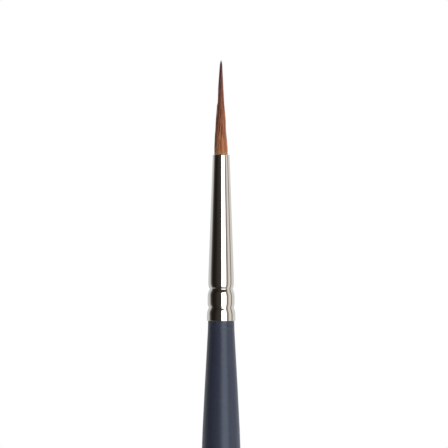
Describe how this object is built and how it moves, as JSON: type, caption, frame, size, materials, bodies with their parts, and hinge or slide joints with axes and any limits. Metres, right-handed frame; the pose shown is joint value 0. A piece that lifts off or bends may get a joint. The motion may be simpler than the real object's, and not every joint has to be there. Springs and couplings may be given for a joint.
{
  "type": "fine detail brush",
  "caption": "Slim round detail brush: lacquered tapered wooden handle, crimped plated ferrule and a fine pointed hair tuft that flexes at the ferrule's mouth.",
  "frame": {"origin": "on the brush's axis at the middle of the grip, the thickest stretch of the handle", "axes": "+Z along the axis from the tail to the point of the hairs, +X to the right, -Y towards the viewer"},
  "size_m": [0.006, 0.006, 0.1788],
  "materials": {
    "wood": "turned, bare under the lacquer",
    "lacquer": "satin slate blue lacquer",
    "nickel": "polished nickel plate on drawn brass",
    "glue": "set wood glue",
    "cement": "set amber resin",
    "hair": "fine brown hair, darker and redder at the point",
    "thread": "waxed thread"
  },
  "bodies": {
    "handle": {"handle_core": "wood", "handle_lacquer": "lacquer", "ferrule": "nickel", "tenon_glue": "glue", "hair_roots": "hair", "binding_thread": "thread", "hair_cement": "cement"},
    "tuft": {"belly_hairs": "hair", "point_hairs": "hair"}
  },
  "joints": [
    {"name": "tuft_flex", "type": "hinge", "parent": "handle", "child": "tuft", "pos_m": [0, 0, 0.06195], "axis": [0, 1, 0], "range_deg": [-40, 40], "stiffness_Nm_per_rad": 0.0003}
  ]
}
